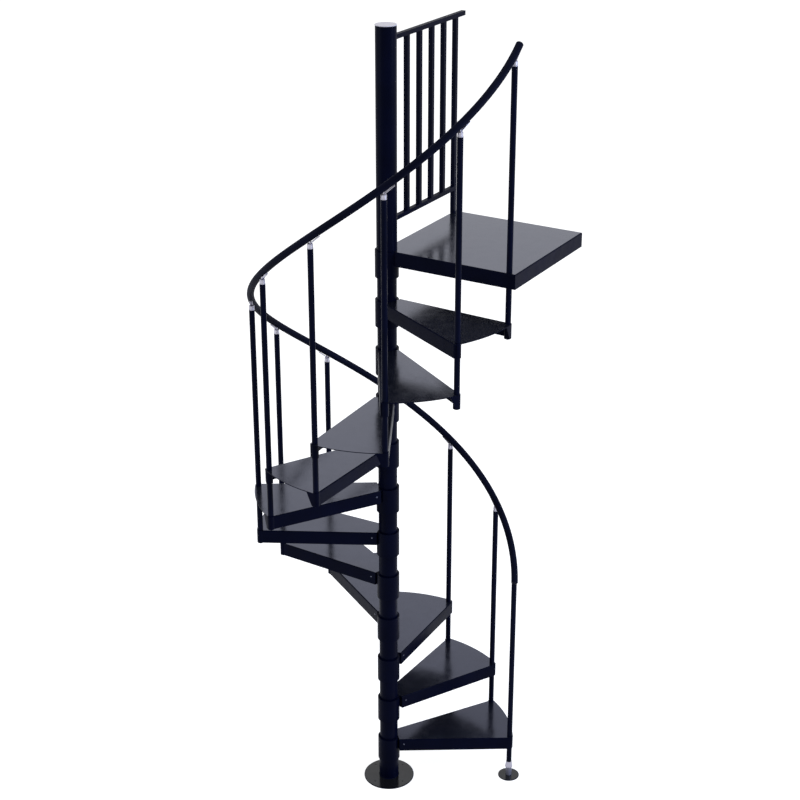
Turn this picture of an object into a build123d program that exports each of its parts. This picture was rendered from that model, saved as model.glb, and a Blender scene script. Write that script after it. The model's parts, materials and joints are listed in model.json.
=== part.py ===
"""Spiral staircase kit in folded and welded steel.

Eleven wedge treads and a square landing are threaded on a centre pole, each on its own
hub with a spacer sleeve below it. A round baluster stands at every tread corner, passes
down through the corner sleeve of the tread below and so ties two treads together. The
balusters carry a tubular helical handrail on coped brackets. A barred guard panel of
square tube closes the open side of the landing.

Units are millimetres. The origin is the centre of the base plate on the floor, +Z is up,
+X points from the pole to the first baluster, and the stair climbs anticlockwise.
"""

import os
from math import asin, atan, cos, degrees, pi, radians, sin

from build123d import *

os.makedirs("parts", exist_ok=True)

# Stair layout, the first rise being taller by the step up from the floor
rise = 228.6
first_rise_extra = 4.0
tread_count = 11
tread_angle = 30.0
ring_radius = 593.7
baluster_count = tread_count + 1

# Pole, hubs and spacer sleeves
pole_diameter = 76.2
pole_wall = 4.0
sliding_fit = 0.3
hub_diameter = 105.0
hub_length = 123.0
spacer_diameter = 86.5
base_sleeve_diameter = 95.0
newel_diameter = 90.5
newel_above_guard = 52.0
cap_diameter = 93.0
cap_height = 3.0
cap_edge_radius = 1.0
cap_spigot_depth = 25.0

# Base plate
base_diameter = 245.0
base_thickness = 5.0
base_chamfer = 1.0
anchor_circle_diameter = 190.0
anchor_hole_diameter = 14.0
anchor_count = 4
anchor_start_angle = 45.0

# Treads, folded from one sheet
sheet = 3.0
fold_radius = 5.0
tread_rim_margin = 16.3
tread_flange_depth = 64.0
tread_corner_radius = 16.0
front_overhang_at_hub = 40.0
front_overhang_at_rim = 20.0
rear_overhang_at_hub = 32.0
rear_overhang_at_rim = 12.0
corner_return_length = 38.0
corner_return_taper = 26.0
mouth_depth = 50.0

# Corner sleeves that the balusters pass through
sleeve_diameter = 32.0
sleeve_length = 65.0

# Balusters
baluster_diameter = 25.4
baluster_wall = 2.0
baluster_above_tread = 862.5
baluster_tail = 2.0

# Handrail, a tube with a rounded plug in each end
rail_diameter = 31.75
rail_wall = 2.0
rail_centre_above_tread = 910.5
rail_start_angle = -3.0
rail_end_angle = 333.5
rail_plug_length = 9.0
rail_plug_rounding = 5.0
rail_plug_depth = 12.0

# Brackets between balusters and handrail
bracket_collar_height = 3.0
bracket_stem_diameter = 23.0
bracket_spigot_length = 30.0
cope_gap = 0.3

# Levelling foot under the first baluster
foot_diameter = 103.0
foot_thickness = 4.0
foot_stem_diameter = 20.0
foot_collar_diameter = 29.0
foot_collar_height = 16.0
first_baluster_bottom = 79.0

# Landing
landing_left = -15.0
landing_right_margin = 37.3
landing_front = -18.0
landing_back_margin = 42.3
landing_flange_depth = 66.0

# Guard panel on the landing's left edge
guard_plane = -4.0
guard_bar = 20.0
guard_bar_count = 5
guard_wall = 2.0
guard_first_bar = 177.0
guard_end_post_margin = 4.9
guard_top_height = 912.0
guard_bottom_height = 120.0
guard_overrun = 75.0
guard_rail_lap = 4.0

# Worked out from the driving dimensions
pole_radius = pole_diameter / 2
bore_radius = pole_radius + sliding_fit
sleeve_bore_radius = baluster_diameter / 2 + sliding_fit
rail_pitch = rise * 360 / tread_angle
rail_climb_per_degree = rise / tread_angle
rail_slope = degrees(atan(rail_pitch / (2 * pi * ring_radius)))
tread_radius = ring_radius + tread_rim_margin
landing_turn = -tread_angle
landing_right = ring_radius + landing_right_margin
landing_back = ring_radius + landing_back_margin


def polar(radius, angle):
    """Point on a circle about the pole, with the angle in degrees."""
    return (radius * cos(radians(angle)), radius * sin(radians(angle)))


def offset_point(radius, angle, aside):
    """Point at a distance along a radial line and a distance to its left."""
    along = polar(radius, angle)
    left = polar(aside, angle + 90)
    return (along[0] + left[0], along[1] + left[1])


def tread_outline(inset, outer_radius):
    """Closed wedge outline of a tread, its two long edges and arc pulled in by inset."""
    front_hub = offset_point(hub_diameter / 2, 0, -front_overhang_at_hub + inset)
    rear_hub = offset_point(hub_diameter / 2, tread_angle, rear_overhang_at_hub - inset)
    front_swing = degrees(asin((front_overhang_at_rim - inset) / outer_radius))
    rear_swing = degrees(asin((rear_overhang_at_rim - inset) / outer_radius))
    front_rim = polar(outer_radius, -front_swing)
    rear_rim = polar(outer_radius, tread_angle + rear_swing)
    middle = polar(outer_radius, tread_angle / 2)
    with BuildLine() as outline:
        Line(front_hub, front_rim)
        ThreePointArc(front_rim, middle, rear_rim)
        Line(rear_rim, rear_hub)
        Line(rear_hub, front_hub)
    return outline.line


def wedge_face(inset, outer_radius):
    """Face of the tread outline with its two corners at the rim rounded."""
    with BuildSketch() as wedge:
        add(tread_outline(inset, outer_radius))
        make_face()
        rim_corners = vertices().sort_by(Axis((0, 0, 0), (*polar(1, tread_angle / 2), 0)))[-2:]
        fillet(rim_corners, radius=tread_corner_radius - inset)
    return wedge.sketch


def tread_level(number):
    """Height of a tread's top above the floor, the landing counting as the last tread."""
    return first_rise_extra + number * rise


def stair_plane(angle, height):
    """Horizontal plane on the pole axis, turned so its X points along the angle."""
    return Plane(origin=(0, 0, height), x_dir=(*polar(1, angle), 0), z_dir=(0, 0, 1))


def add_hub(plane):
    """Weld a hub tube, flush with the top, into the part being built."""
    with BuildSketch(plane) as ring:
        Circle(hub_diameter / 2)
    extrude(ring.sketch, amount=-hub_length)


def bore_hub(plane):
    """Open the pole's bore through the hub and the plate."""
    with BuildSketch(plane) as bore:
        Circle(bore_radius)
    extrude(bore.sketch, amount=-hub_length, mode=Mode.SUBTRACT)


def add_sleeves(plane, angles):
    """Weld baluster sleeves, flush with the top, into the part being built."""
    with BuildSketch(plane) as rings:
        for angle in angles:
            with Locations(polar(ring_radius, angle)):
                Circle(sleeve_diameter / 2)
    extrude(rings.sketch, amount=-sleeve_length)


def bore_sleeves(plane, angles, depth):
    """Open the balusters' bores through the sleeves and the plate."""
    with BuildSketch(plane) as bores:
        for angle in angles:
            with Locations(polar(ring_radius, angle)):
                Circle(sleeve_bore_radius)
    extrude(bores.sketch, amount=-depth, mode=Mode.SUBTRACT)


def round_long_edges(count):
    """Give the folded edges of the pan being built their bend radius."""
    top_edges = edges().group_by(Axis.Z)[-1].filter_by(GeomType.LINE)
    fillet(top_edges.sort_by(SortBy.LENGTH)[-count:], radius=fold_radius)


# Heights that depend on the tread levels
landing_level = tread_level(tread_count + 1)
newel_height = guard_top_height + newel_above_guard
newel_top = landing_level + newel_height

# Base plate with its welded sleeve and anchor holes
first_hub_bottom = tread_level(1) - hub_length
with BuildPart() as base_plate:
    with BuildSketch(Plane.XY):
        Circle(base_diameter / 2)
    extrude(amount=base_thickness)
    chamfer(faces().sort_by(Axis.Z)[-1].edges(), length=base_chamfer)
    with BuildSketch(Plane.XY.offset(base_thickness)):
        Circle(base_sleeve_diameter / 2)
        Circle(bore_radius, mode=Mode.SUBTRACT)
    extrude(amount=first_hub_bottom - base_thickness)
    with Locations(Plane.XY.offset(base_thickness)):
        with PolarLocations(anchor_circle_diameter / 2, anchor_count, anchor_start_angle):
            Hole(radius=anchor_hole_diameter / 2, depth=base_thickness)
base_plate.part.label = "base_plate"
export_step(base_plate.part, "parts/base_plate.step")

# Centre pole, a plain tube from the base plate to the cap
with BuildPart() as centre_pole:
    with BuildSketch(Plane.XY.offset(base_thickness)):
        Circle(pole_radius)
        Circle(pole_radius - pole_wall, mode=Mode.SUBTRACT)
    extrude(amount=newel_top - base_thickness)
centre_pole.part.label = "centre_pole"
export_step(centre_pole.part, "parts/centre_pole.step")

# Spacer sleeves, one above each tread hub
spacer_length = rise - hub_length
with BuildPart() as spacer_sleeves:
    for step in range(1, tread_count + 1):
        with BuildSketch(Plane.XY.offset(tread_level(step))):
            Circle(spacer_diameter / 2)
            Circle(bore_radius, mode=Mode.SUBTRACT)
        extrude(amount=spacer_length)
spacer_sleeves.part.label = "spacer_sleeves"
export_step(spacer_sleeves.part, "parts/spacer_sleeves.step")

# Newel sleeve that carries the pole up past the landing
with BuildPart() as newel_sleeve:
    with BuildSketch(Plane.XY.offset(landing_level)):
        Circle(newel_diameter / 2)
        Circle(bore_radius, mode=Mode.SUBTRACT)
    extrude(amount=newel_height)
newel_sleeve.part.label = "newel_sleeve"
export_step(newel_sleeve.part, "parts/newel_sleeve.step")

# Pole cap with a spigot inside the pole
with BuildPart() as pole_cap:
    with BuildSketch(Plane.XY.offset(newel_top)):
        Circle(cap_diameter / 2)
    extrude(amount=cap_height)
    fillet(faces().sort_by(Axis.Z)[-1].edges(), radius=cap_edge_radius)
    with BuildSketch(Plane.XY.offset(newel_top)):
        Circle(pole_radius - pole_wall - sliding_fit)
    extrude(amount=-cap_spigot_depth)
pole_cap.part.label = "pole_cap"
export_step(pole_cap.part, "parts/pole_cap.step")


def make_tread(number):
    """One tread: folded pan, welded hub, two corner sleeves and tapered corner returns."""
    top = stair_plane((number - 1) * tread_angle, tread_level(number))
    name = f"tread_{number:02d}"
    with BuildPart() as tread:
        with BuildSketch(top):
            add(tread_outline(0, tread_radius))
            make_face()
        extrude(amount=-tread_flange_depth)
        round_long_edges(2)
        with BuildSketch(top):
            add(wedge_face(0, tread_radius))
        extrude(amount=-tread_flange_depth, mode=Mode.INTERSECT)
        with BuildSketch(top.offset(-sheet)):
            add(wedge_face(sheet, tread_radius - sheet))
        extrude(amount=-tread_flange_depth, mode=Mode.SUBTRACT)
        cut_rim_mouth(number)
        add_hub(top)
        add_sleeves(top, (0, tread_angle))
        bore_hub(top)
        bore_sleeves(top, (0, tread_angle), sleeve_length)
    tread.part.label = name
    export_step(tread.part, f"parts/{name}.step")
    return tread.part


def cut_rim_mouth(number):
    """Open the rim below the plate and leave a tapered return at each corner."""
    middle_angle = (number - 0.5) * tread_angle
    radial = polar(1, middle_angle)
    half_rim = tread_radius * sin(radians(tread_angle / 2))
    lower_half = half_rim - corner_return_length + corner_return_taper
    upper_half = half_rim - corner_return_length
    level = tread_level(number)
    facing = Plane(origin=(0, 0, level), x_dir=(-radial[1], radial[0], 0), z_dir=(*radial, 0))
    with BuildSketch(facing.offset(tread_radius - mouth_depth)) as mouth:
        with BuildLine():
            Polyline(
                (-upper_half, -sheet),
                (upper_half, -sheet),
                (lower_half, -tread_flange_depth),
                (-lower_half, -tread_flange_depth),
                close=True,
            )
        make_face()
    extrude(mouth.sketch, amount=mouth_depth, mode=Mode.SUBTRACT)


for tread_number in range(1, tread_count + 1):
    make_tread(tread_number)

# Square landing, a pan folded down on all four sides, with its hub
landing_plane = stair_plane(landing_turn, landing_level)
landing_length = landing_right - landing_left
landing_depth = landing_back - landing_front
landing_middle = ((landing_left + landing_right) / 2, (landing_front + landing_back) / 2)
with BuildPart() as landing:
    with BuildSketch(landing_plane):
        with Locations(landing_middle):
            Rectangle(landing_length, landing_depth)
    extrude(amount=-landing_flange_depth)
    round_long_edges(4)
    with BuildSketch(landing_plane.offset(-sheet)):
        with Locations(landing_middle):
            Rectangle(landing_length - 2 * sheet, landing_depth - 2 * sheet)
    extrude(amount=-landing_flange_depth, mode=Mode.SUBTRACT)
    add_hub(landing_plane)
    add_sleeves(landing_plane, (0,))
    bore_hub(landing_plane)
    bore_sleeves(landing_plane, (0,), landing_flange_depth)
landing.part.label = "landing"
export_step(landing.part, "parts/landing.step")


def baluster_bottom(number):
    """Height of a baluster's lower end."""
    if number == 1:
        return first_baluster_bottom
    return tread_level(number - 1) - sleeve_length - baluster_tail


# Balusters, one node each
for number in range(1, baluster_count + 1):
    bottom = baluster_bottom(number)
    top_end = tread_level(number) + baluster_above_tread
    place = polar(ring_radius, (number - 1) * tread_angle)
    with BuildPart() as baluster:
        with BuildSketch(Plane.XY.offset(bottom)):
            with Locations(place):
                Circle(baluster_diameter / 2)
                Circle(baluster_diameter / 2 - baluster_wall, mode=Mode.SUBTRACT)
        extrude(amount=top_end - bottom)
    name = f"baluster_{number:02d}"
    baluster.part.label = name
    export_step(baluster.part, f"parts/{name}.step")


def rail_height(angle):
    """Height of the handrail's centre line at an angle from the first baluster."""
    return tread_level(1) + rail_centre_above_tread + angle * rail_climb_per_degree


# Handrail, a tube swept along a helix
rail_climb = (rail_end_angle - rail_start_angle) * rail_climb_per_degree
rail_bore_radius = rail_diameter / 2 - rail_wall
with BuildPart() as handrail:
    with BuildLine() as rail_path:
        Helix(pitch=rail_pitch, height=rail_climb, radius=ring_radius)
    with BuildSketch(Plane(rail_path.line @ 0, z_dir=rail_path.line % 0)):
        Circle(rail_diameter / 2)
        Circle(rail_bore_radius, mode=Mode.SUBTRACT)
    sweep(is_frenet=True)
rail_start = Location((0, 0, rail_height(rail_start_angle)), (0, 0, rail_start_angle))
handrail_solid = handrail.part.moved(rail_start)
handrail_solid.label = "handrail"
export_step(handrail_solid, "parts/handrail.step")


def rail_plane(angle):
    """Plane across the handrail, its Z along the climb and its X away from the pole."""
    return Plane(
        origin=(*polar(ring_radius, angle), rail_height(angle)),
        x_dir=(*polar(1, angle), 0),
        z_dir=(*polar(cos(radians(rail_slope)), angle + 90), sin(radians(rail_slope))),
    )


def add_rail_plug(angle, outward):
    """Add a plug with a rounded head outside the tube's end and a spigot inside it."""
    across = rail_plane(angle)
    with BuildSketch(across) as head:
        Circle(rail_diameter / 2)
    extrude(head.sketch, amount=outward * rail_plug_length)
    with BuildSketch(across) as spigot:
        Circle(rail_bore_radius - sliding_fit)
    extrude(spigot.sketch, amount=-outward * rail_plug_depth)


# Plugs in both ends of the handrail
with BuildPart() as rail_end_plugs:
    add_rail_plug(rail_start_angle, -1)
    add_rail_plug(rail_end_angle, 1)
    heads = edges().filter_by(GeomType.CIRCLE).sort_by(Axis.Z)
    fillet([heads[0], heads[-1]], radius=rail_plug_rounding)
rail_end_plugs.part.label = "rail_end_plugs"
export_step(rail_end_plugs.part, "parts/rail_end_plugs.step")

# Brackets, each with a spigot in the baluster, a collar and a stem coped to the rail
with BuildPart() as rail_brackets:
    for number in range(1, baluster_count + 1):
        turn = (number - 1) * tread_angle
        place = polar(ring_radius, turn)
        tube_top = tread_level(number) + baluster_above_tread
        with BuildSketch(Plane.XY.offset(tube_top - bracket_spigot_length)):
            with Locations(place):
                Circle(baluster_diameter / 2 - baluster_wall - sliding_fit)
        extrude(amount=bracket_spigot_length)
        with BuildSketch(Plane.XY.offset(tube_top)):
            with Locations(place):
                Circle(baluster_diameter / 2)
        extrude(amount=bracket_collar_height)
        with BuildSketch(Plane.XY.offset(tube_top)):
            with Locations(place):
                Circle(bracket_stem_diameter / 2)
        extrude(amount=rail_height(turn) - tube_top)
        with BuildSketch(rail_plane(turn).offset(-rail_diameter)):
            Circle(rail_diameter / 2 + cope_gap)
        extrude(amount=2 * rail_diameter, mode=Mode.SUBTRACT)
rail_brackets.part.label = "rail_brackets"
export_step(rail_brackets.part, "parts/rail_brackets.step")

# Foot plate under the first baluster
foot_place = polar(ring_radius, 0)
with BuildPart() as foot_plate:
    with BuildSketch(Plane.XY):
        with Locations(foot_place):
            Circle(foot_diameter / 2)
    extrude(amount=foot_thickness)
    chamfer(faces().sort_by(Axis.Z)[-1].edges(), length=base_chamfer)
foot_plate.part.label = "foot_plate"
export_step(foot_plate.part, "parts/foot_plate.step")

# Levelling stem between foot plate and first baluster
with BuildPart() as foot_stem:
    with BuildSketch(Plane.XY.offset(foot_thickness)):
        with Locations(foot_place):
            Circle(foot_stem_diameter / 2)
    extrude(amount=first_baluster_bottom + bracket_spigot_length - foot_thickness)
    with BuildSketch(Plane.XY.offset(first_baluster_bottom - foot_collar_height)):
        with Locations(foot_place):
            Circle(foot_collar_diameter / 2)
    extrude(amount=foot_collar_height)
foot_stem.part.label = "foot_stem"
export_step(foot_stem.part, "parts/foot_stem.step")

# Guard panel of square tube, bars between two rails, with an end post down to the landing
guard_end_post = ring_radius + guard_end_post_margin
guard_bar_spacing = (guard_end_post - guard_first_bar) / (guard_bar_count - 1)
guard_rail_start = newel_diameter / 2 - guard_rail_lap


def add_guard_bar(first, last, low, high, inset, mode):
    """Add or cut one straight length of the panel, pulled in by inset but for its lengths."""
    width = guard_bar - 2 * inset
    with BuildSketch(landing_plane.offset(low)) as section:
        with Locations((guard_plane, (first + last) / 2)):
            Rectangle(width, last - first)
    extrude(section.sketch, amount=high - low, mode=mode)


def add_guard_frame(inset, mode):
    """Add the panel's rails, bars and end post, or with an inset cut their bores."""
    rail_half = guard_bar / 2 - inset
    top_rail_middle = guard_top_height - guard_bar / 2
    for middle, far_end in (
        (top_rail_middle, guard_end_post + guard_overrun - inset),
        (guard_bottom_height, guard_end_post + rail_half),
    ):
        add_guard_bar(guard_rail_start, far_end, middle - rail_half, middle + rail_half, inset, mode)
    for bar_number in range(guard_bar_count):
        middle = guard_first_bar + bar_number * guard_bar_spacing
        near, far = middle - rail_half, middle + rail_half
        add_guard_bar(near, far, guard_bottom_height, top_rail_middle, inset, mode)
    near, far = guard_end_post - rail_half, guard_end_post + rail_half
    add_guard_bar(near, far, inset, guard_bottom_height, inset, mode)


with BuildPart() as guard_panel:
    add_guard_frame(0, Mode.ADD)
    add_guard_frame(guard_wall, Mode.SUBTRACT)
    with BuildSketch(landing_plane):
        Circle(newel_diameter / 2 + sliding_fit)
    extrude(amount=guard_top_height, mode=Mode.SUBTRACT)
guard_panel.part.label = "guard_panel"
export_step(guard_panel.part, "parts/guard_panel.step")
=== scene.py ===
import json
import math

import bmesh
import bpy
from mathutils import Euler, Matrix, Vector
from mathutils.geometry import delaunay_2d_cdt


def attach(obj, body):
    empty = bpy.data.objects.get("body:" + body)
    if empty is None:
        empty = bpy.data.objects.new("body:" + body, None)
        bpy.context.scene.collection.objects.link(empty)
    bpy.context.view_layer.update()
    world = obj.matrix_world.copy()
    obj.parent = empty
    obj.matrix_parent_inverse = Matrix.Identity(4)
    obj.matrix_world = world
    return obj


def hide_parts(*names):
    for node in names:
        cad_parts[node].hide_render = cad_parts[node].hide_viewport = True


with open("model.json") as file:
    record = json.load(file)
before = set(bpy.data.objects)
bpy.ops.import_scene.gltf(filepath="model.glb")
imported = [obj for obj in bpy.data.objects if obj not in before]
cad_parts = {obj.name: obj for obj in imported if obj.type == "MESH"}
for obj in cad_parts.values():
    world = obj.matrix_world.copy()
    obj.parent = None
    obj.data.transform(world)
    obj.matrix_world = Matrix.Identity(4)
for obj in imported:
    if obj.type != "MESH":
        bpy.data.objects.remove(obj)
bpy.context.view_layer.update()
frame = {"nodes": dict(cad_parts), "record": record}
nodes = frame["nodes"]

# Sizes of the stair that the added pieces share with the frame, in metres and degrees
RISE = 0.2286
FIRST_RISE_EXTRA = 0.004
TREAD_COUNT = 11
TREAD_ANGLE = 30.0
RING_RADIUS = 0.5937

# Pole, hubs and spacers
HUB_RADIUS = 0.0525
SPACER_RADIUS = 0.04325
NEWEL_RADIUS = 0.04525

# Balusters, their sleeves and the handrail
BALUSTER_COUNT = TREAD_COUNT + 1
BALUSTER_RADIUS = 0.0127
BALUSTER_TOP = 0.8625
BALUSTER_TAIL = 0.002
BORE_RADIUS = BALUSTER_RADIUS + 0.0003
SLEEVE_RADIUS = 0.016
SLEEVE_LENGTH = 0.065
RAIL_RADIUS = 0.015875
RAIL_HEIGHT = 0.9105

# Treads, with each overhang given at the hub and at the rim
SHEET = 0.003
TREAD_RADIUS = RING_RADIUS + 0.0163
TREAD_CORNER = 0.016
FRONT_OVERHANG = (0.040, 0.020)
REAR_OVERHANG = (0.032, 0.012)

# Landing and the end post of its guard
LANDING_LEFT = -0.015
LANDING_RIGHT = RING_RADIUS + 0.0373
LANDING_FRONT = -0.018
LANDING_BACK = RING_RADIUS + 0.0423
GUARD_PLANE = -0.004
GUARD_BAR = 0.020
GUARD_END_POST = RING_RADIUS + 0.0049

# Base plate and levelling foot
PLATE_CHAMFER = 0.001
BASE_RADIUS = 0.1225
BASE_THICKNESS = 0.005
BASE_SLEEVE_RADIUS = 0.0475
ANCHOR_CIRCLE = 0.095
ANCHOR_RADIUS = 0.007
ANCHOR_ANGLES = (45.0, 135.0, 225.0, 315.0)
FOOT_RADIUS = 0.0515
FOOT_THICKNESS = 0.004
FOOT_STEM_RADIUS = 0.0145

# Camera solved from the photo, in metres, degrees and millimetres of lens and sensor
CAMERA_PLACE = (0.1253, -6.9035, 5.0837)
CAMERA_TURN = (66.175, 0.0, 0.5723)
CAMERA_ROLL = -0.065
CAMERA_LENS = 75.66
SENSOR_WIDTH = 36.0


def tread_level(number):
    """Height of a tread's top, the landing counting as the last tread."""
    return FIRST_RISE_EXTRA + number * RISE


def polar(radius, angle):
    """Point on a circle about the pole, with the angle in degrees."""
    return Vector((radius * math.cos(math.radians(angle)), radius * math.sin(math.radians(angle))))


def left_of(way):
    """Direction a quarter turn to the left of another."""
    return Vector((-way.y, way.x))


POLE_AXIS = Vector((0.0, 0.0))
FIRST_BALUSTER = polar(RING_RADIUS, 0.0)
ANCHORS = [polar(ANCHOR_CIRCLE, angle) for angle in ANCHOR_ANGLES]

# Noise in the materials: its cells per metre, its detail and the part of its range that is used
MOTTLE_SCALE = 9.0
MOTTLE_DETAIL = 4.0
MOTTLE_RANGE = (0.35, 0.65)
HAZE_SCALE = 23.0
HAZE_DETAIL = 5.0
HAZE_RANGE = (0.3, 0.7)
PEEL_DETAIL = 2.0
PEEL_DEPTH = 0.0001


def noise(tree, coords, scale, detail):
    """Factor socket of a noise texture in object space."""
    texture = tree.nodes.new("ShaderNodeTexNoise")
    texture.inputs["Scale"].default_value = scale
    texture.inputs["Detail"].default_value = detail
    tree.links.new(coords, texture.inputs["Vector"])
    return texture.outputs["Fac"]


def ramp(tree, factor, dark, light):
    """Colour socket that goes from dark to light over the mottle's range."""
    node = tree.nodes.new("ShaderNodeValToRGB")
    for element, position, colour in zip(node.color_ramp.elements, MOTTLE_RANGE, (dark, light)):
        element.position = position
        element.color = (*colour, 1.0)
    tree.links.new(factor, node.inputs["Fac"])
    return node.outputs["Color"]


def span(tree, factor, low, high):
    """Socket that goes from low to high over the haze's range."""
    node = tree.nodes.new("ShaderNodeMapRange")
    node.inputs["From Min"].default_value, node.inputs["From Max"].default_value = HAZE_RANGE
    node.inputs["To Min"].default_value = low
    node.inputs["To Max"].default_value = high
    tree.links.new(factor, node.inputs["Value"])
    return node.outputs["Result"]


def bump(tree, factor, strength):
    """Normal socket of a bump as deep as orange peel."""
    node = tree.nodes.new("ShaderNodeBump")
    node.inputs["Distance"].default_value = PEEL_DEPTH
    node.inputs["Strength"].default_value = strength
    tree.links.new(factor, node.inputs["Height"])
    return node.outputs["Normal"]


def coat(name, dark, light, roughness, ior, peel, tint=(1.0, 1.0, 1.0), metallic=0.0):
    """Surface with mottled colour, uneven gloss and orange peel, given as its scale and strength."""
    material = bpy.data.materials.new(name)
    material.use_nodes = True
    tree = material.node_tree
    shader = tree.nodes["Principled BSDF"]
    shader.inputs["IOR"].default_value = ior
    shader.inputs["Metallic"].default_value = metallic
    shader.inputs["Specular Tint"].default_value = (*tint, 1.0)
    coords = tree.nodes.new("ShaderNodeTexCoord").outputs["Object"]
    mottle = noise(tree, coords, MOTTLE_SCALE, MOTTLE_DETAIL)
    tree.links.new(ramp(tree, mottle, dark, light), shader.inputs["Base Color"])
    haze = noise(tree, coords, HAZE_SCALE, HAZE_DETAIL)
    tree.links.new(span(tree, haze, *roughness), shader.inputs["Roughness"])
    peel_scale, peel_strength = peel
    grain = noise(tree, coords, peel_scale, PEEL_DETAIL)
    tree.links.new(bump(tree, grain, peel_strength), shader.inputs["Normal"])
    return material


def powder_coat(name):
    """Near black powder coat with a blue cast, as on the folded and welded steel."""
    return coat(
        name,
        dark=(0.0008, 0.0016, 0.0090),
        light=(0.0013, 0.0023, 0.0125),
        roughness=(0.30, 0.40),
        ior=1.09,
        peel=(420.0, 0.08),
    )


# Lit copy of the black coat on the walking surfaces, smoother and mirroring the pale surroundings: its
# lighter base colour and blue tinted reflection are painted light on the tops
top_coat_painted_light = coat(
    "painted_light_tread_top",
    dark=(0.0060, 0.0070, 0.0120),
    light=(0.0085, 0.0095, 0.0160),
    roughness=(0.15, 0.22),
    ior=1.90,
    peel=(900.0, 0.02),
    tint=(0.66, 0.70, 1.0),
)

# Lit copy of the black coat on top of the base plate and the foot plate, neutral in tint: its lighter base
# colour and stronger reflection are painted light on the tops
plate_coat_painted_light = coat(
    "plate_top_painted_light",
    dark=(0.0070, 0.0070, 0.0085),
    light=(0.0095, 0.0095, 0.0110),
    roughness=(0.12, 0.18),
    ior=1.75,
    peel=(900.0, 0.02),
)

# The duller zinc on the levelling foot's sleeve
zinc = coat(
    "satin_zinc",
    dark=(0.15, 0.148, 0.19),
    light=(0.21, 0.205, 0.26),
    roughness=(0.35, 0.45),
    ior=1.50,
    peel=(600.0, 0.04),
)

slot_materials = {
    "black_powder_coat": powder_coat("black_powder_coat"),
    "tread_black": powder_coat("tread_black"),
    "baluster_black": coat(
        "baluster_black",
        dark=(0.0008, 0.0018, 0.0100),
        light=(0.0013, 0.0025, 0.0140),
        roughness=(0.28, 0.38),
        ior=1.10,
        peel=(480.0, 0.06),
    ),
    "rail_grip": coat(
        "rail_grip",
        dark=(0.0026, 0.0032, 0.0100),
        light=(0.0040, 0.0050, 0.0150),
        roughness=(0.50, 0.60),
        ior=1.09,
        peel=(700.0, 0.10),
    ),
    "bright_metal": coat(
        "bright_metal",
        dark=(0.34, 0.33, 0.39),
        light=(0.42, 0.41, 0.47),
        roughness=(0.30, 0.42),
        ior=1.45,
        peel=(600.0, 0.04),
        metallic=1.0,
    ),
    "pale_cap": coat(
        "pale_cap",
        dark=(0.62, 0.60, 0.66),
        light=(0.68, 0.66, 0.72),
        roughness=(0.40, 0.50),
        ior=1.35,
        peel=(500.0, 0.05),
    ),
}


def dress(obj, material):
    """Gives an object one material all over."""
    obj.data.materials.clear()
    obj.data.materials.append(material)


for subpart in frame["record"]["subparts"]:
    dress(nodes[subpart["node"]], slot_materials[subpart["material_slot"]])


def add_piece(name, mesh, slot_name, material=None):
    """Links a new piece, gives it a material and rides it on the part."""
    obj = bpy.data.objects.new(name, mesh)
    bpy.context.scene.collection.objects.link(obj)
    dress(obj, material or slot_materials[slot_name])
    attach(obj, "root")
    return obj


def join_rings(work, lower, upper):
    """Adds the band of faces between two rings of as many points."""
    for step in range(len(lower)):
        after = (step + 1) % len(lower)
        work.faces.new((lower[step], lower[after], upper[after], upper[step]))


def spin(work, profile, place, axis=(0.0, 0.0, 1.0), count=32):
    """Adds a turned body to a bmesh: profile is (radius, height) pairs along the axis."""
    turn = Vector((0.0, 0.0, 1.0)).rotation_difference(Vector(axis).normalized()).to_matrix().to_4x4()
    matrix = Matrix.Translation(place) @ turn
    rings = []
    for radius, height in profile:
        if radius == 0.0:
            rings.append([work.verts.new(matrix @ Vector((0.0, 0.0, height)))])
            continue
        ring = []
        for step in range(count):
            angle = 2 * math.pi * step / count
            point = Vector((radius * math.cos(angle), radius * math.sin(angle), height))
            ring.append(work.verts.new(matrix @ point))
        rings.append(ring)
    for lower, upper in zip(rings, rings[1:]):
        if len(lower) == len(upper):
            join_rings(work, lower, upper)
            continue
        for step in range(count):
            after = (step + 1) % count
            if len(lower) == 1:
                work.faces.new((lower[0], upper[after], upper[step]))
            else:
                work.faces.new((lower[step], lower[after], upper[0]))


def finish_mesh(work, name, smooth_angle=40.0):
    """Turns a bmesh into a smooth-shaded mesh with its sharp edges kept."""
    bmesh.ops.recalc_face_normals(work, faces=work.faces)
    limit = math.radians(smooth_angle)
    for edge in work.edges:
        if len(edge.link_faces) == 2 and edge.calc_face_angle(0.0) > limit:
            edge.smooth = False
    for face in work.faces:
        face.smooth = True
    mesh = bpy.data.meshes.new(name)
    work.to_mesh(mesh)
    work.free()
    return mesh


# Thin plates that carry the painted light of the upper surfaces, in the lit copies of the black coat
SKIN = 0.0002
SKIN_MARGIN = 0.004
RIM_MARGIN = 0.0008
POLE_GAP = 0.0004
PLATE_GAP = 0.0003
REACH = 0.9
CUT_TOLERANCE = 1e-7


def circle(centre, radius, count=48):
    """Points of a circle."""
    turn = 2 * math.pi / count
    return [centre + Vector((radius * math.cos(turn * i), radius * math.sin(turn * i))) for i in range(count)]


def outside(centre, radius):
    """Test for points outside a circle."""
    return lambda point: (point - centre).length > radius


def inside(centre, radius):
    """Test for points inside a circle."""
    return lambda point: (point - centre).length < radius


def half_plane(start, end, inset):
    """Line from start to end moved to its left by inset: two far points and a test for its left side."""
    along = (end - start).normalized()
    left = left_of(along)
    base = start + inset * left
    return [base - REACH * along, base + REACH * along], lambda point: (point - base).dot(left) > 0


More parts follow.
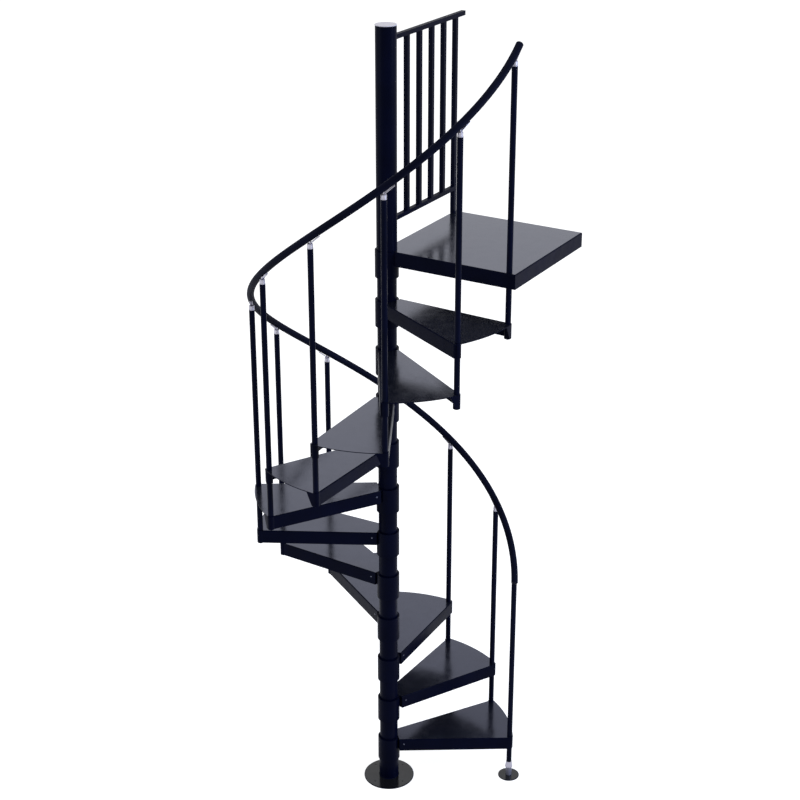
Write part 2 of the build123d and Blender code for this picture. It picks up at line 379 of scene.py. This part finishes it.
def thin_plate(name, lines, loops, tests, level, turn=0.0, slot="tread_black", material=top_coat_painted_light):
    """Plate cut out of the plane by lines and closed loops, keeping what passes every test."""
    points, edges = [], []
    for line in lines:
        edges.append((len(points), len(points) + 1))
        points.extend(line)
    for loop in loops:
        first = len(points)
        points.extend(loop)
        edges.extend((first + i, first + (i + 1) % len(loop)) for i in range(len(loop)))
    corners, _, faces, _, _, _ = delaunay_2d_cdt(points, edges, [], 0, CUT_TOLERANCE)
    work = bmesh.new()
    placed = [work.verts.new((corner.x, corner.y, level)) for corner in corners]
    for face in faces:
        middle = sum((corners[i] for i in face), Vector((0.0, 0.0))) / len(face)
        if all(test(middle) for test in tests):
            work.faces.new([placed[i] for i in face])
    bmesh.ops.delete(work, geom=[vert for vert in work.verts if not vert.link_faces], context="VERTS")
    raised = bmesh.ops.extrude_face_region(work, geom=work.faces[:], use_keep_orig=True)["geom"]
    raised_verts = [item for item in raised if isinstance(item, bmesh.types.BMVert)]
    bmesh.ops.translate(work, verts=raised_verts, vec=(0.0, 0.0, SKIN))
    bmesh.ops.rotate(work, verts=work.verts, matrix=Matrix.Rotation(math.radians(turn), 3, "Z"))
    return add_piece(name, finish_mesh(work, name), slot, material)


def rim_corner(start, end):
    """Centre of a tread's rounded rim corner beside the edge that runs from start to end."""
    along = (end - start).normalized()
    left = left_of(along)
    offset = start.dot(left) + TREAD_CORNER
    side = math.sqrt((TREAD_RADIUS - TREAD_CORNER) ** 2 - offset**2)
    middle = polar(1.0, TREAD_ANGLE / 2)
    centres = [offset * left + side * along, offset * left - side * along]
    return max(centres, key=lambda centre: centre.dot(middle))


def corner_test(centre, left, radius):
    """Test for points that a rounded rim corner leaves, left being the way from its edge inwards."""
    outward = centre.normalized()

    def keeps(point):
        away = point - centre
        return away.dot(left) > 0 or away.dot(outward) < 0 or away.length < radius

    return keeps


def painted_light_tread_top(number):
    """Top plate of one tread, inside its folded edges and around its balusters."""
    ahead = polar(1.0, 0.0)
    behind = polar(1.0, TREAD_ANGLE)
    front_hub = HUB_RADIUS * ahead - FRONT_OVERHANG[0] * left_of(ahead)
    rear_hub = HUB_RADIUS * behind + REAR_OVERHANG[0] * left_of(behind)
    front_rim = polar(TREAD_RADIUS, -math.degrees(math.asin(FRONT_OVERHANG[1] / TREAD_RADIUS)))
    rear_rim = polar(TREAD_RADIUS, TREAD_ANGLE + math.degrees(math.asin(REAR_OVERHANG[1] / TREAD_RADIUS)))
    lines, tests = [], []
    for start, end, inset in (
        (front_hub, front_rim, SKIN_MARGIN),
        (rear_rim, rear_hub, SKIN_MARGIN),
        (rear_hub, front_hub, RIM_MARGIN),
    ):
        line, test = half_plane(start, end, inset)
        lines.append(line)
        tests.append(test)
    rim = TREAD_RADIUS - RIM_MARGIN
    loops = [circle(POLE_AXIS, rim, count=360), circle(POLE_AXIS, SPACER_RADIUS + POLE_GAP)]
    tests.append(inside(POLE_AXIS, rim))
    tests.append(outside(POLE_AXIS, SPACER_RADIUS + POLE_GAP))
    for place in (RING_RADIUS * ahead, RING_RADIUS * behind):
        loops.append(circle(place, BORE_RADIUS, count=32))
        tests.append(outside(place, BORE_RADIUS))
    for start, end in ((front_hub, front_rim), (rear_rim, rear_hub)):
        centre = rim_corner(start, end)
        radius = TREAD_CORNER - SKIN_MARGIN
        loops.append(circle(centre, radius, count=40))
        tests.append(corner_test(centre, left_of((end - start).normalized()), radius))
    turn = (number - 1) * TREAD_ANGLE
    return thin_plate(f"painted_light_tread_top_{number:02d}", lines, loops, tests, tread_level(number), turn)


def landing_top():
    """Top plate of the landing, around the newel, the last baluster and the guard's end post.

    It is drawn with the last baluster on the X axis, and then turned to its place.
    """
    corners = [
        Vector((LANDING_LEFT, LANDING_FRONT)),
        Vector((LANDING_RIGHT, LANDING_FRONT)),
        Vector((LANDING_RIGHT, LANDING_BACK)),
        Vector((LANDING_LEFT, LANDING_BACK)),
    ]
    lines, tests = [], []
    for start, end in zip(corners, corners[1:] + corners[:1]):
        line, test = half_plane(start, end, SKIN_MARGIN)
        lines.append(line)
        tests.append(test)
    half = GUARD_BAR / 2 + PLATE_GAP
    post = Vector((GUARD_PLANE, GUARD_END_POST))
    post_outline = [post + Vector((x * half, y * half)) for x, y in ((-1, -1), (1, -1), (1, 1), (-1, 1))]
    last_baluster = polar(RING_RADIUS, 0.0)
    pole_hole = circle(POLE_AXIS, NEWEL_RADIUS + POLE_GAP)
    baluster_hole = circle(last_baluster, BORE_RADIUS, count=32)
    tests.append(outside(POLE_AXIS, NEWEL_RADIUS + POLE_GAP))
    tests.append(outside(last_baluster, BORE_RADIUS))
    tests.append(lambda point: abs(point.x - post.x) > half or abs(point.y - post.y) > half)
    loops = [pole_hole, baluster_hole, post_outline]
    level = tread_level(TREAD_COUNT + 1)
    return thin_plate("landing_top", lines, loops, tests, level, turn=-TREAD_ANGLE)


def ring_top(name, centre, inner, outer, holes, level):
    """Ring-shaped top plate with round holes, given as their centres and radii."""
    loops = [circle(centre, inner), circle(centre, outer, count=96)]
    tests = [outside(centre, inner), inside(centre, outer)]
    for place, radius in holes:
        loops.append(circle(place, radius, count=24))
        tests.append(outside(place, radius))
    return thin_plate(name, [], loops, tests, level, slot="black_powder_coat", material=plate_coat_painted_light)


def base_plate_top():
    """Top plate of the base plate, around the pole's sleeve and the anchor screws."""
    inner = BASE_SLEEVE_RADIUS + PLATE_GAP
    outer = BASE_RADIUS - PLATE_CHAMFER - PLATE_GAP
    holes = [(anchor, ANCHOR_RADIUS) for anchor in ANCHORS]
    return ring_top("base_plate_top", POLE_AXIS, inner, outer, holes, BASE_THICKNESS)


def foot_plate_top():
    """Top plate of the levelling foot's disc, around its stem."""
    inner = FOOT_STEM_RADIUS + PLATE_GAP
    outer = FOOT_RADIUS - PLATE_CHAMFER - PLATE_GAP
    return ring_top("foot_plate_top", FIRST_BALUSTER, inner, outer, [], FOOT_THICKNESS)


for tread_number in range(1, TREAD_COUNT + 1):
    painted_light_tread_top(tread_number)
landing_top()
base_plate_top()
foot_plate_top()

# Countersunk anchor screw with a round drive recess, its heights measured from the plate's top
SCREW_RECESS = -0.0022
SCREW_HEAD = (
    (0.0, SCREW_RECESS),
    (0.0030, SCREW_RECESS),
    (0.0034, -0.0002),
    (ANCHOR_RADIUS - 0.0003, 0.0001),
    (ANCHOR_RADIUS, -0.0005),
    (0.0052, 0.0006 - BASE_THICKNESS),
    (0.0, 0.0005 - BASE_THICKNESS),
)


def anchor_screws():
    """Anchor screws, flush in the base plate."""
    work = bmesh.new()
    for anchor in ANCHORS:
        spin(work, SCREW_HEAD, (anchor.x, anchor.y, BASE_THICKNESS), count=24)
    mesh = finish_mesh(work, "anchor_screws", smooth_angle=25.0)
    # The screw heads take the plate tops' coat, with its painted light
    return add_piece("anchor_screws", mesh, "black_powder_coat", plate_coat_painted_light)


# Button-head bolts, their places measured along the folded edge from the hub and down from the top
BOLT_ALONG = 0.022
BOLT_DROP = 0.026
BOLT_HEAD = (
    (0.0, -0.0006),
    (0.0042, -0.0006),
    (0.0042, 0.0006),
    (0.0036, 0.0016),
    (0.0022, 0.0023),
    (0.0, 0.0026),
)


def edge_bolts():
    """Bolts through the treads' front and rear folded edges, beside each hub."""
    work = bmesh.new()
    for number in range(1, TREAD_COUNT + 1):
        front_angle = (number - 1) * TREAD_ANGLE
        rear_angle = number * TREAD_ANGLE
        for angle, side, overhang in ((front_angle, -1.0, FRONT_OVERHANG), (rear_angle, 1.0, REAR_OVERHANG)):
            radial = polar(1.0, angle)
            aside = side * left_of(radial)
            start = HUB_RADIUS * radial + overhang[0] * aside
            end = math.sqrt(TREAD_RADIUS**2 - overhang[1] ** 2) * radial + overhang[1] * aside
            along = (end - start).normalized()
            away = side * left_of(along)
            place = start + BOLT_ALONG * along
            spot = (place.x, place.y, tread_level(number) - BOLT_DROP)
            spin(work, BOLT_HEAD, spot, axis=(away.x, away.y, 0.0), count=16)
    mesh = finish_mesh(work, "edge_bolts", smooth_angle=25.0)
    # The bolt heads take the tread tops' coat, with its painted light
    return add_piece("edge_bolts", mesh, "tread_black", top_coat_painted_light)


# Plug in a baluster's lower end: a spigot inside the tube and a low crown below it
PLUG_SPIGOT_RADIUS = BALUSTER_RADIUS - 0.0023
PLUG_HEAD_RADIUS = BALUSTER_RADIUS - 0.0006
PLUG = (
    (0.0, 0.004),
    (PLUG_SPIGOT_RADIUS, 0.004),
    (PLUG_SPIGOT_RADIUS, 0.0),
    (PLUG_HEAD_RADIUS, 0.0),
    (PLUG_HEAD_RADIUS, -0.0006),
    (PLUG_HEAD_RADIUS - 0.0010, -0.0012),
    (0.0, -0.0014),
)


def baluster_end_plugs():
    """Plugs in all balusters but the first, which stands on the levelling foot."""
    work = bmesh.new()
    for number in range(2, BALUSTER_COUNT + 1):
        place = polar(RING_RADIUS, (number - 1) * TREAD_ANGLE)
        height = tread_level(number - 1) - SLEEVE_LENGTH - BALUSTER_TAIL
        spin(work, PLUG, (place.x, place.y, height), count=28)
    return add_piece("baluster_end_plugs", finish_mesh(work, "baluster_end_plugs"), "baluster_black")


anchor_screws()
edge_bolts()
baluster_end_plugs()

# Box that holds a tread's front rim return, as ranges along its front baluster's radius, aside and up
RETURN_BOX = ((0.575, 0.613), (-0.0150, 0.0620), (-0.0660, -0.0033))
WELD_TOLERANCE = 1e-6


def box_cutter(number):
    """Box round the front rim return of a tread, below its top plate."""
    work = bmesh.new()
    bmesh.ops.create_cube(work, size=1.0)
    for vert in work.verts:
        vert.co = [(low + high) / 2 + at * (high - low) for at, (low, high) in zip(vert.co, RETURN_BOX)]
    turn = Matrix.Rotation(math.radians((number - 1) * TREAD_ANGLE), 4, "Z")
    lift = Matrix.Translation((0.0, 0.0, tread_level(number)))
    bmesh.ops.transform(work, verts=work.verts, matrix=lift @ turn)
    mesh = bpy.data.meshes.new("cutter")
    work.to_mesh(mesh)
    work.free()
    cutter = bpy.data.objects.new("cutter", mesh)
    bpy.context.scene.collection.objects.link(cutter)
    return cutter


def cut_copy(node, cutter):
    """Mesh of a CAD node less the cutter, which is used up."""
    rough = bpy.data.objects.new("rough", nodes[node].data.copy())
    bpy.context.scene.collection.objects.link(rough)
    cut = rough.modifiers.new("cut", "BOOLEAN")
    cut.operation = "DIFFERENCE"
    cut.solver = "EXACT"
    cut.object = cutter
    graph = bpy.context.evaluated_depsgraph_get()
    mesh = bpy.data.meshes.new_from_object(rough.evaluated_get(graph))
    bpy.data.objects.remove(rough)
    bpy.data.objects.remove(cutter)
    return mesh


def open_tread(number):
    """Copy of a CAD tread with its front return cut away and the sleeve there made whole again."""
    node = f"tread_{number:02d}"
    name = f"tread_pan_{number:02d}"
    work = bmesh.new()
    work.from_mesh(cut_copy(node, box_cutter(number)))
    bmesh.ops.remove_doubles(work, verts=work.verts, dist=WELD_TOLERANCE)
    place = polar(RING_RADIUS, (number - 1) * TREAD_ANGLE)
    sleeve = (
        (BORE_RADIUS, -SLEEVE_LENGTH),
        (SLEEVE_RADIUS, -SLEEVE_LENGTH),
        (SLEEVE_RADIUS, -SHEET),
        (BORE_RADIUS, -SHEET),
        (BORE_RADIUS, -SLEEVE_LENGTH),
    )
    spin(work, sleeve, (place.x, place.y, tread_level(number)), count=40)
    piece = add_piece(name, finish_mesh(work, name, smooth_angle=30.0), "tread_black")
    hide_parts(node)


for tread_number in range(1, TREAD_COUNT + 1):
    open_tread(tread_number)

# Rail fitting: a collar in and on the baluster's top, with its heights measured from that top
COLLAR = (
    (0.0, -0.030),
    (0.0104, -0.030),
    (0.0104, 0.0),
    (0.0127, 0.0),
    (0.0127, 0.0028),
    (0.0118, 0.0034),
    (0.0118, 0.0180),
    (0.0100, 0.0205),
    (0.0, 0.0212),
)

# Pin that carries the rail on the collar, its top sunk into the rail's wall
PIN_RADIUS = 0.0048
PIN_BOTTOM = 0.019
PIN_SINK = RAIL_RADIUS / 10
PIN_TOP = RAIL_HEIGHT - BALUSTER_TOP - RAIL_RADIUS + PIN_SINK
PIN = ((0.0, PIN_BOTTOM), (PIN_RADIUS, PIN_BOTTOM), (PIN_RADIUS, PIN_TOP), (0.0, PIN_TOP))

# Flat arm from the collar to the rail's underside: distances uphill and up, and its half section
ARM_PATH = (
    (-0.006, 0.0130),
    (0.001, 0.0200),
    (0.010, 0.0285),
    (0.022, 0.0390),
    (0.034, 0.0490),
    (0.042, 0.0555),
)
ARM_HALF_WIDTH = 0.0070
ARM_HALF_THICKNESS = 0.0024
ARM_SECTION = ((1, 0.4), (0.75, 1), (-0.75, 1), (-1, 0.4), (-1, -0.4), (-0.75, -1), (0.75, -1), (1, -0.4))

# Unit direction of the rail, uphill and up
RAIL_SLOPE = Vector((1.0, RISE / math.radians(TREAD_ANGLE) / RING_RADIUS)).normalized()


def fitting_arm(work, baluster_angle, baluster_top):
    """Adds one flat bent arm that runs up along the rail."""
    rings = []
    for along, height in ARM_PATH:
        angle = baluster_angle + math.degrees(along / RING_RADIUS)
        radial = polar(1.0, angle)
        tangent = left_of(radial)
        centre = Vector((*(RING_RADIUS * radial), baluster_top + height))
        wide = ARM_HALF_WIDTH * Vector((*radial, 0.0))
        thick = ARM_HALF_THICKNESS * Vector((*(-RAIL_SLOPE.y * tangent), RAIL_SLOPE.x))
        rings.append([work.verts.new(centre + across * wide + up * thick) for across, up in ARM_SECTION])
    for lower, upper in zip(rings, rings[1:]):
        join_rings(work, lower, upper)
    work.faces.new(rings[0])
    work.faces.new(rings[-1])


def rail_fittings():
    """Fittings between all balusters and the handrail."""
    work = bmesh.new()
    for number in range(1, BALUSTER_COUNT + 1):
        angle = (number - 1) * TREAD_ANGLE
        place = polar(RING_RADIUS, angle)
        height = tread_level(number) + BALUSTER_TOP
        spin(work, COLLAR, (place.x, place.y, height), count=32)
        spin(work, PIN, (place.x, place.y, height), count=16)
        fitting_arm(work, angle, height)
    mesh = finish_mesh(work, "rail_fittings", smooth_angle=35.0)
    fittings = add_piece("rail_fittings", mesh, "bright_metal")
    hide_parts("rail_brackets")


# Levelling foot: a sleeve on the plate and a tapered cover round the first baluster's end
FOOT_SLEEVE_TOP = 0.052
FOOT_SLEEVE = (
    (0.0, FOOT_THICKNESS),
    (FOOT_STEM_RADIUS - 0.0003, FOOT_THICKNESS),
    (FOOT_STEM_RADIUS, FOOT_THICKNESS + 0.0006),
    (FOOT_STEM_RADIUS, FOOT_SLEEVE_TOP),
    (0.0, FOOT_SLEEVE_TOP),
)
FOOT_COVER = (
    (0.0, FOOT_SLEEVE_TOP),
    (0.0178, FOOT_SLEEVE_TOP),
    (0.0185, 0.0545),
    (0.0150, 0.0760),
    (0.0136, 0.0840),
    (0.0129, 0.0840),
    (0.0129, 0.0789),
    (0.0, 0.0789),
)


def foot_sleeve():
    """Sleeve that stands on the levelling foot's disc."""
    work = bmesh.new()
    spin(work, FOOT_SLEEVE, (FIRST_BALUSTER.x, FIRST_BALUSTER.y, 0.0), count=40)
    mesh = finish_mesh(work, "foot_sleeve", smooth_angle=35.0)
    sleeve = add_piece("foot_sleeve", mesh, "bright_metal", zinc)
    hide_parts("foot_stem")


def foot_cover():
    """Bright cover between the sleeve and the first baluster."""
    work = bmesh.new()
    spin(work, FOOT_COVER, (FIRST_BALUSTER.x, FIRST_BALUSTER.y, 0.0), count=40)
    mesh = finish_mesh(work, "foot_cover", smooth_angle=35.0)
    return add_piece("foot_cover", mesh, "bright_metal")


# Weld bead: its overlap with the metal, its crown as shares of its size outwards and up, and the
# waves that make it uneven, each as a share of its size, a count round the tube and a phase
WELD_OVERLAP = 0.0002
WELD_CROWN = (0.45, 0.55)
WELD_WAVES = ((0.10, 13, 0.0), (0.06, 29, 1.0))


def weld_bead(work, place, radius, height, size, count):
    """Adds a slightly uneven fillet of weld round a tube that stands on a plate."""
    up = Vector((0.0, 0.0, 1.0))
    centre = Vector((place.x, place.y, height))
    inner, outer, crown = [], [], []
    for step in range(count):
        angle = 2 * math.pi * step / count
        wobble = sum(share * math.sin(waves * angle + phase) for share, waves, phase in WELD_WAVES)
        uneven = size * (1.0 + wobble)
        way = Vector((math.cos(angle), math.sin(angle), 0.0))
        inner.append(work.verts.new(centre + (radius - WELD_OVERLAP) * way + uneven * up))
        crown_way = (radius + WELD_CROWN[0] * size) * way
        crown.append(work.verts.new(centre + crown_way + WELD_CROWN[1] * uneven * up))
        outer.append(work.verts.new(centre + (radius + uneven) * way - WELD_OVERLAP * up))
    join_rings(work, inner, crown)
    join_rings(work, crown, outer)
    join_rings(work, outer, inner)


def base_welds():
    """Welds round the pole's sleeve on the base plate and round the levelling foot's sleeve."""
    work = bmesh.new()
    weld_bead(work, POLE_AXIS, BASE_SLEEVE_RADIUS, BASE_THICKNESS, size=0.0028, count=96)
    weld_bead(work, FIRST_BALUSTER, FOOT_STEM_RADIUS, FOOT_THICKNESS, size=0.0018, count=48)
    mesh = finish_mesh(work, "base_welds", smooth_angle=80.0)
    return add_piece("base_welds", mesh, "black_powder_coat")


rail_fittings()
foot_sleeve()
foot_cover()
base_welds()

# Studio: a floor that takes the shadow, and a backdrop of the same white
FLOOR_SIZE = 60.0
FLOOR_LEVEL = -0.0006
FLOOR_COLOUR = (0.55, 0.55, 0.55, 1.0)
FLOOR_GLOW = 0.85
WHITE = (1.0, 1.0, 1.0, 1.0)
MIRRORED_WHITE = (0.96, 0.97, 1.0, 1.0)
AMBIENT_COLOUR = (0.92, 0.95, 1.0, 1.0)
AMBIENT_STRENGTH = 0.45

# Between these heights of its direction the mirrored backdrop dims from one strength to the other
DIM_HEIGHTS = (0.53, 0.59)
DIM_STRENGTHS = (1.0, 0.50)


def math_node(tree, operation, first, second):
    """Output of a math node on two sockets."""
    node = tree.nodes.new("ShaderNodeMath")
    node.operation = operation
    tree.links.new(first, node.inputs[0])
    tree.links.new(second, node.inputs[1])
    return node.outputs[0]


def backdrop_rays(tree):
    """Sockets for the rays that see the white backdrop: straight ones, mirrored ones and both."""
    path = tree.nodes.new("ShaderNodeLightPath")
    straight = math_node(tree, "MAXIMUM", path.outputs["Is Camera Ray"], path.outputs["Is Transmission Ray"])
    mirrored = path.outputs["Is Glossy Ray"]
    return straight, mirrored, math_node(tree, "MAXIMUM", straight, mirrored)


def studio_floor():
    """Pale floor, white where no shadow falls."""
    bpy.ops.mesh.primitive_plane_add(size=FLOOR_SIZE, location=(0.0, 0.0, FLOOR_LEVEL))
    floor = bpy.context.object
    floor.name = "studio_floor"
    material = bpy.data.materials.new("studio_floor")
    material.use_nodes = True
    tree = material.node_tree
    tree.nodes.remove(tree.nodes["Principled BSDF"])
    diffuse = tree.nodes.new("ShaderNodeBsdfDiffuse")
    diffuse.inputs["Color"].default_value = FLOOR_COLOUR
    glow = tree.nodes.new("ShaderNodeEmission")
    glow.inputs["Color"].default_value = WHITE
    share = tree.nodes.new("ShaderNodeValue")
    share.outputs[0].default_value = FLOOR_GLOW
    _, _, seen = backdrop_rays(tree)
    tree.links.new(math_node(tree, "MULTIPLY", seen, share.outputs[0]), glow.inputs["Strength"])
    both = tree.nodes.new("ShaderNodeAddShader")
    tree.links.new(diffuse.outputs[0], both.inputs[0])
    tree.links.new(glow.outputs[0], both.inputs[1])
    tree.links.new(both.outputs[0], tree.nodes["Material Output"].inputs["Surface"])
    dress(floor, material)


def dimmed_overhead(tree):
    """Strength of the mirrored backdrop, lower overhead than near the horizon."""
    direction = tree.nodes.new("ShaderNodeTexCoord")
    split = tree.nodes.new("ShaderNodeSeparateXYZ")
    tree.links.new(direction.outputs["Generated"], split.inputs[0])
    fade = tree.nodes.new("ShaderNodeMapRange")
    fade.inputs["From Min"].default_value, fade.inputs["From Max"].default_value = DIM_HEIGHTS
    fade.inputs["To Min"].default_value, fade.inputs["To Max"].default_value = DIM_STRENGTHS
    tree.links.new(split.outputs["Z"], fade.inputs["Value"])
    return fade.outputs["Result"]


def studio_world():
    """White backdrop to the camera and in reflections, and a plain soft light for the rest."""
    world = bpy.data.worlds.new("studio_world")
    bpy.context.scene.world = world
    world.use_nodes = True
    tree = world.node_tree
    tree.nodes.clear()
    straight, mirrored, seen = backdrop_rays(tree)
    mirrored_strength = math_node(tree, "MULTIPLY", mirrored, dimmed_overhead(tree))
    tint = tree.nodes.new("ShaderNodeMixRGB")
    tint.inputs["Color1"].default_value = WHITE
    tint.inputs["Color2"].default_value = MIRRORED_WHITE
    tree.links.new(mirrored, tint.inputs["Fac"])
    ambient = tree.nodes.new("ShaderNodeBackground")
    ambient.inputs["Color"].default_value = AMBIENT_COLOUR
    ambient.inputs["Strength"].default_value = AMBIENT_STRENGTH
    white = tree.nodes.new("ShaderNodeBackground")
    tree.links.new(tint.outputs["Color"], white.inputs["Color"])
    tree.links.new(math_node(tree, "MAXIMUM", straight, mirrored_strength), white.inputs["Strength"])
    mix = tree.nodes.new("ShaderNodeMixShader")
    tree.links.new(seen, mix.inputs[0])
    tree.links.new(ambient.outputs[0], mix.inputs[1])
    tree.links.new(white.outputs[0], mix.inputs[2])
    output = tree.nodes.new("ShaderNodeOutputWorld")
    tree.links.new(mix.outputs[0], output.inputs["Surface"])


def area_lamp(name, place, target, size, power, colour):
    """Soft square lamp aimed at a point."""
    data = bpy.data.lights.new(name, "AREA")
    data.shape = "SQUARE"
    data.size = size
    data.energy = power
    data.color = colour
    lamp = bpy.data.objects.new(name, data)
    lamp.location = place
    aim = Vector(target) - Vector(place)
    lamp.rotation_euler = aim.to_track_quat("-Z", "Y").to_euler()
    bpy.context.scene.collection.objects.link(lamp)


def studio_camera():
    """Camera at the photo's place, angle and lens."""
    data = bpy.data.cameras.new("camera")
    data.lens = CAMERA_LENS
    data.sensor_width = SENSOR_WIDTH
    camera = bpy.data.objects.new("camera", data)
    camera.location = CAMERA_PLACE
    aim = Euler([math.radians(angle) for angle in CAMERA_TURN]).to_matrix()
    camera.rotation_euler = (aim @ Matrix.Rotation(math.radians(CAMERA_ROLL), 3, "Z")).to_euler()
    bpy.context.scene.collection.objects.link(camera)
    bpy.context.scene.camera = camera


studio_floor()
studio_world()
area_lamp(
    "top_lamp",
    place=(1.0, 1.5, 14.0),
    target=(0.0, 0.0, 1.5),
    size=8.0,
    power=520.0,
    colour=(1.0, 0.98, 0.97),
)
area_lamp(
    "right_lamp",
    place=(6.5, -2.5, 4.0),
    target=(0.0, 0.0, 1.8),
    size=2.5,
    power=375.0,
    colour=(0.55, 0.68, 1.0),
)
area_lamp(
    "left_lamp",
    place=(-5.5, -2.0, 3.5),
    target=(0.0, 0.0, 1.8),
    size=2.5,
    power=90.0,
    colour=(0.8, 0.88, 1.0),
)
studio_camera()
bpy.context.scene.view_settings.view_transform = "Standard"
